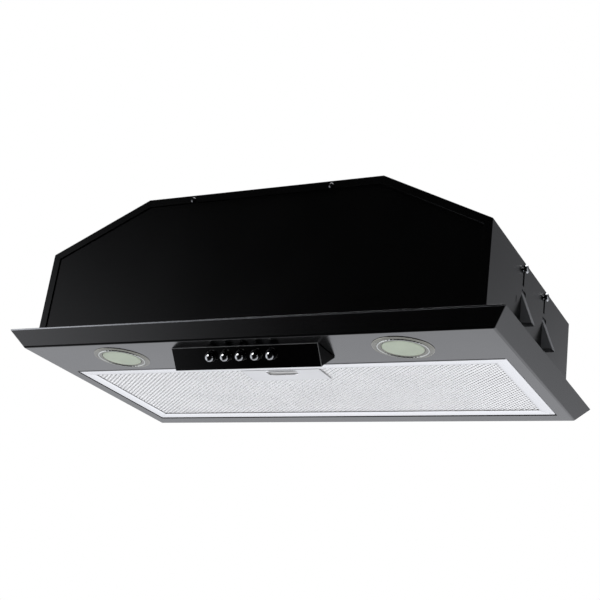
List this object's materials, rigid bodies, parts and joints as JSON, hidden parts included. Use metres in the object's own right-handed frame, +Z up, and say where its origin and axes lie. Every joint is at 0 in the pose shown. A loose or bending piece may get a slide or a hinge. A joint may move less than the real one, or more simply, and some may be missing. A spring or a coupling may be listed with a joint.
{
  "type": "built-in canopy range hood",
  "caption": "Slim built-in range hood with a sloped rim, push-button control box, two round lamps, hinged mesh filter, blower and top duct collar.",
  "frame": {"origin": "centre of the cabinet cut-out, in the plane of the rim's top, which bears on the underside of the cabinet's floor board", "axes": "+X to the right as seen from the front, +Y to the back, +Z up"},
  "size_m": [0.52, 0.287, 0.2103],
  "materials": {
    "dark_paint": "satin near-black powder coat",
    "black_paint": "satin black paint",
    "gloss_black": "high gloss black",
    "chrome": "bright chrome plate",
    "black_plastic": "moulded, fine grain",
    "galvanised_steel": "zinc-coated sheet, faint spangle",
    "lamination_steel": "stacked lamination edges",
    "white_plastic": "moulded off-white",
    "wire_jacket": "matte black jacket",
    "aluminium": "bright rolled aluminium",
    "aluminium_mesh": "expanded aluminium mesh with a fine diamond pattern",
    "lamp_bezel": "pale champagne satin metal",
    "frosted_glass": "frosted, very pale green-white",
    "led": "matte board with a yellow phosphor spot"
  },
  "bodies": {
    "hood": {"canopy_tray": "dark_paint", "housing_wrap": "black_paint", "front_panel": "black_paint", "rear_panel": "black_paint", "control_housing": "black_paint", "control_fascia": "gloss_black", "motor_bearing_inner": "chrome", "motor_bearing_outer": "chrome", "duct_collar": "black_plastic", "cable_gland": "black_plastic", "filter_seat": "galvanised_steel", "damper_pin": "galvanised_steel", "blower_band": "galvanised_steel", "blower_side_left": "galvanised_steel", "blower_side_right": "galvanised_steel", "motor_case": "galvanised_steel", "motor_end_bell": "galvanised_steel", "motor_bracket": "galvanised_steel", "capacitor_strap": "galvanised_steel", "motor_stator": "lamination_steel", "junction_box": "white_plastic", "junction_lid": "white_plastic", "run_capacitor": "white_plastic", "switch_block": "white_plastic", "motor_lead": "wire_jacket", "lamp_lead_left": "wire_jacket", "lamp_lead_right": "wire_jacket", "lamp_cup_left": "aluminium", "lamp_cup_right": "aluminium", "lamp_bezel_left": "lamp_bezel", "lamp_bezel_right": "lamp_bezel", "lamp_lens_left": "frosted_glass", "lamp_lens_right": "frosted_glass", "lamp_led_left": "led", "lamp_led_right": "led"},
    "fan": {"fan_hub": "galvanised_steel", "fan_blades_left": "galvanised_steel", "fan_blades_right": "galvanised_steel", "motor_shaft": "chrome", "motor_rotor": "lamination_steel"},
    "damper_front": {"damper_flap_front": "black_plastic"},
    "damper_rear": {"damper_flap_rear": "black_plastic"},
    "filter": {"filter_frame": "aluminium", "filter_mesh": "aluminium_mesh", "latch_plate": "aluminium", "latch_spring": "chrome"},
    "filter_latch": {"latch_slider": "aluminium"},
    "button_1": {"push_button_1": "chrome"},
    "button_2": {"push_button_2": "chrome"},
    "button_3": {"push_button_3": "chrome"},
    "button_4": {"push_button_4": "chrome"},
    "button_5": {"push_button_5": "chrome"},
    "clip_left_front": {"side_clip_left_front": "black_paint", "clamp_screw_left_front": "chrome"},
    "clip_left_rear": {"side_clip_left_rear": "black_paint", "clamp_screw_left_rear": "chrome"},
    "clip_right_front": {"side_clip_right_front": "black_paint", "clamp_screw_right_front": "chrome"},
    "clip_right_rear": {"side_clip_right_rear": "black_paint", "clamp_screw_right_rear": "chrome"}
  },
  "joints": [
    {"name": "fan_spin", "type": "hinge", "parent": "hood", "child": "fan", "pos_m": [0, -0.025, 0.068], "axis": [1, 0, 0], "continuous": true},
    {"name": "damper_front_lift", "type": "hinge", "parent": "hood", "child": "damper_front", "pos_m": [0, 0.022, 0.1498], "axis": [-1, 0, 0], "range_deg": [0, 75]},
    {"name": "damper_rear_lift", "type": "hinge", "parent": "hood", "child": "damper_rear", "pos_m": [0, 0.022, 0.1498], "axis": [1, 0, 0], "range_deg": [0, 75]},
    {"name": "filter_tilt", "type": "hinge", "parent": "hood", "child": "filter", "pos_m": [0, 0.1107, -0.0159], "axis": [1, 0, 0], "range_deg": [0, 75]},
    {"name": "latch_slide", "type": "slide", "parent": "filter", "child": "filter_latch", "axis": [0, 1, 0], "range_m": [0, 0.005], "stiffness_N_per_m": 400, "springref_m": -0.003, "deforming": ["latch_spring"]},
    {"name": "button_1_press", "type": "slide", "parent": "hood", "child": "button_1", "axis": [0, 0.7894, 0.6139], "range_m": [0, 0.003], "stiffness_N_per_m": 300, "springref_m": -0.002},
    {"name": "button_2_press", "type": "slide", "parent": "hood", "child": "button_2", "axis": [0, 0.7894, 0.6139], "range_m": [0, 0.003], "stiffness_N_per_m": 300, "springref_m": -0.002},
    {"name": "button_3_press", "type": "slide", "parent": "hood", "child": "button_3", "axis": [0, 0.7894, 0.6139], "range_m": [0, 0.003], "stiffness_N_per_m": 300, "springref_m": -0.002},
    {"name": "button_4_press", "type": "slide", "parent": "hood", "child": "button_4", "axis": [0, 0.7894, 0.6139], "range_m": [0, 0.003], "stiffness_N_per_m": 300, "springref_m": -0.002},
    {"name": "button_5_press", "type": "slide", "parent": "hood", "child": "button_5", "axis": [0, 0.7894, 0.6139], "range_m": [0, 0.003], "stiffness_N_per_m": 300, "springref_m": -0.002},
    {"name": "clip_left_front_clamp", "type": "slide", "parent": "hood", "child": "clip_left_front", "axis": [0, 0, 1], "range_m": [-0.0125, 0]},
    {"name": "clip_left_rear_clamp", "type": "slide", "parent": "hood", "child": "clip_left_rear", "axis": [0, 0, 1], "range_m": [-0.0125, 0]},
    {"name": "clip_right_front_clamp", "type": "slide", "parent": "hood", "child": "clip_right_front", "axis": [0, 0, 1], "range_m": [-0.0125, 0]},
    {"name": "clip_right_rear_clamp", "type": "slide", "parent": "hood", "child": "clip_right_rear", "axis": [0, 0, 1], "range_m": [-0.0125, 0]}
  ]
}
